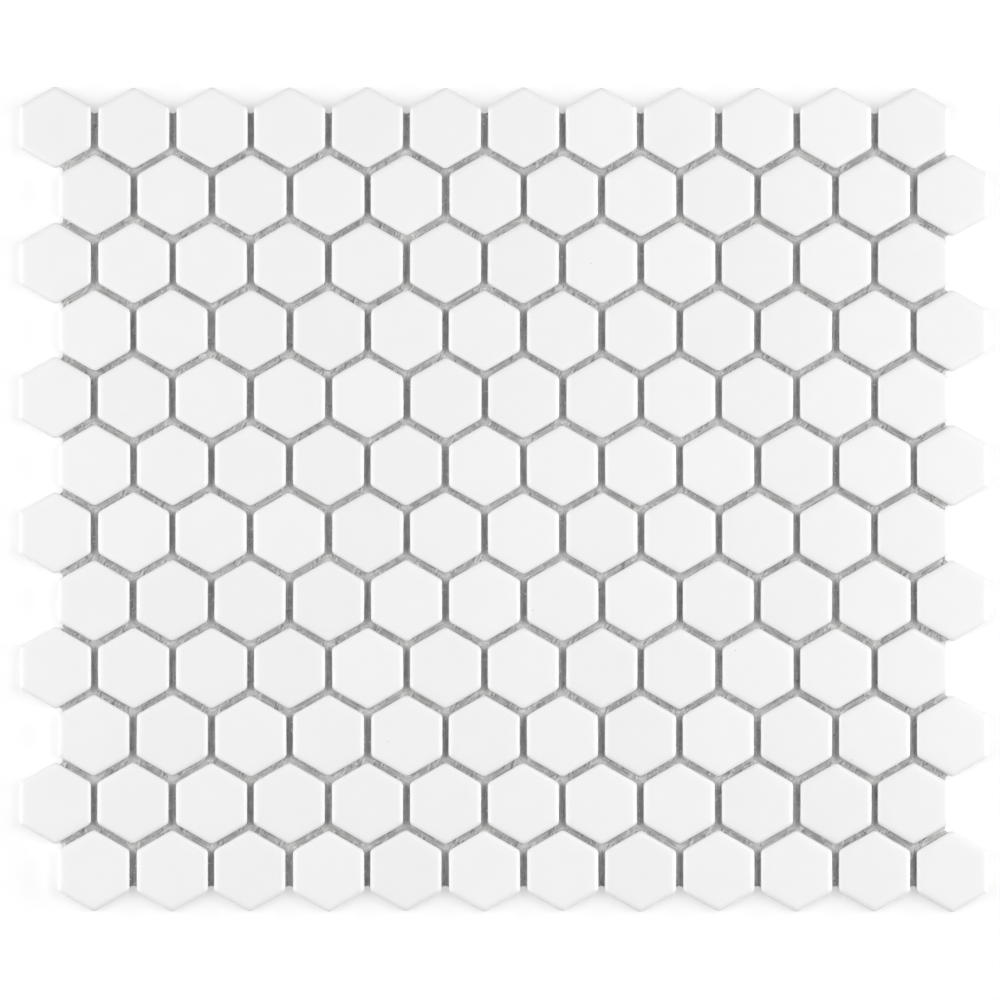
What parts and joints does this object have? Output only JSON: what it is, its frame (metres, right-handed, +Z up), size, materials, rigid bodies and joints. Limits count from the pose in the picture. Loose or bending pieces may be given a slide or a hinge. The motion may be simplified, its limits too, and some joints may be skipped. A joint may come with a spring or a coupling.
{
  "type": "hexagon mosaic tile sheet",
  "caption": "Sheet of small matt white porcelain hexagons held edge to edge by a fibre netting, for laying as a floor.",
  "frame": {"origin": "on the floor under the middle of the sheet", "axes": "+Z up out of the tiles' faces, +X along the rows, +Y across the rows, towards the first row"},
  "size_m": [0.3019, 0.2568, 0.0054],
  "materials": {
    "porcelain": "matt",
    "netting": "satin"
  },
  "bodies": {
    "root": {"tile_row_01": "porcelain", "tile_row_02": "porcelain", "tile_row_03": "porcelain", "tile_row_04": "porcelain", "tile_row_05": "porcelain", "tile_row_06": "porcelain", "tile_row_07": "porcelain", "tile_row_08": "porcelain", "tile_row_09": "porcelain", "tile_row_10": "porcelain", "tile_row_11": "porcelain", "tile_row_12": "porcelain", "net_warp_yarns": "netting", "net_weft_yarns": "netting"}
  },
  "joints": []
}
